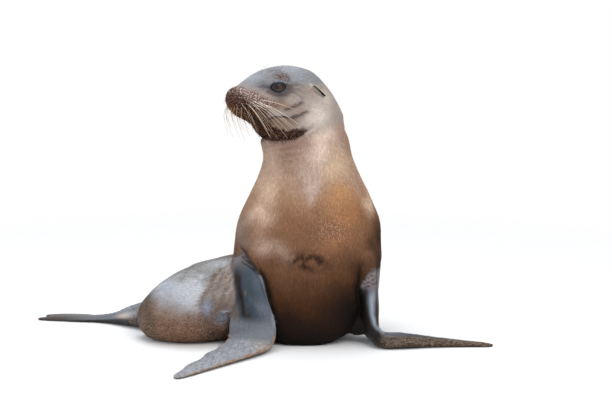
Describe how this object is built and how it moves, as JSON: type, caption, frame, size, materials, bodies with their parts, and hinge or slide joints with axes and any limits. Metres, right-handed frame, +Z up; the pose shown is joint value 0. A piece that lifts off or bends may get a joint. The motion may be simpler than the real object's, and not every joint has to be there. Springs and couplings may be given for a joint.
{
  "type": "sea lion model",
  "caption": "Life-size still model of a young sea lion sitting upright on its fore flippers, head turned to its right, hind body and flippers laid along the floor.",
  "frame": {"origin": "on the floor, under the middle of the animal's bounding box", "axes": "+X towards the outstretched left fore flipper, so -X is the way the hind flippers lie; +Y towards the animal's back, so the chest faces -Y; +Z up"},
  "size_m": [1.0352, 0.6964, 0.6039],
  "materials": {
    "coat": "short wet-look fur lying flat, warm brown to silver grey",
    "pale_coat": "short fur lying flat, pale beige grey",
    "bare_skin": "satin slate-grey bare skin",
    "eye": "glossy dark brown",
    "claw": "dark horn"
  },
  "bodies": {
    "root": {"head": "pale_coat", "jaw": "pale_coat", "nose": "bare_skin", "neck": "pale_coat", "chest": "coat", "loin": "coat", "rump": "coat", "tail": "coat", "ear_left": "coat", "ear_right": "coat", "fore_arm_right": "bare_skin", "fore_hand_right": "bare_skin", "fore_arm_left": "bare_skin", "fore_hand_left": "bare_skin", "hind_shank_right": "bare_skin", "hind_foot_right": "bare_skin", "hind_shank_left": "bare_skin", "hind_foot_left": "bare_skin", "eye_left": "eye", "eye_right": "eye", "claw_right_2": "claw", "claw_right_3": "claw", "claw_right_4": "claw", "claw_left_2": "claw", "claw_left_3": "claw", "claw_left_4": "claw"}
  },
  "joints": []
}
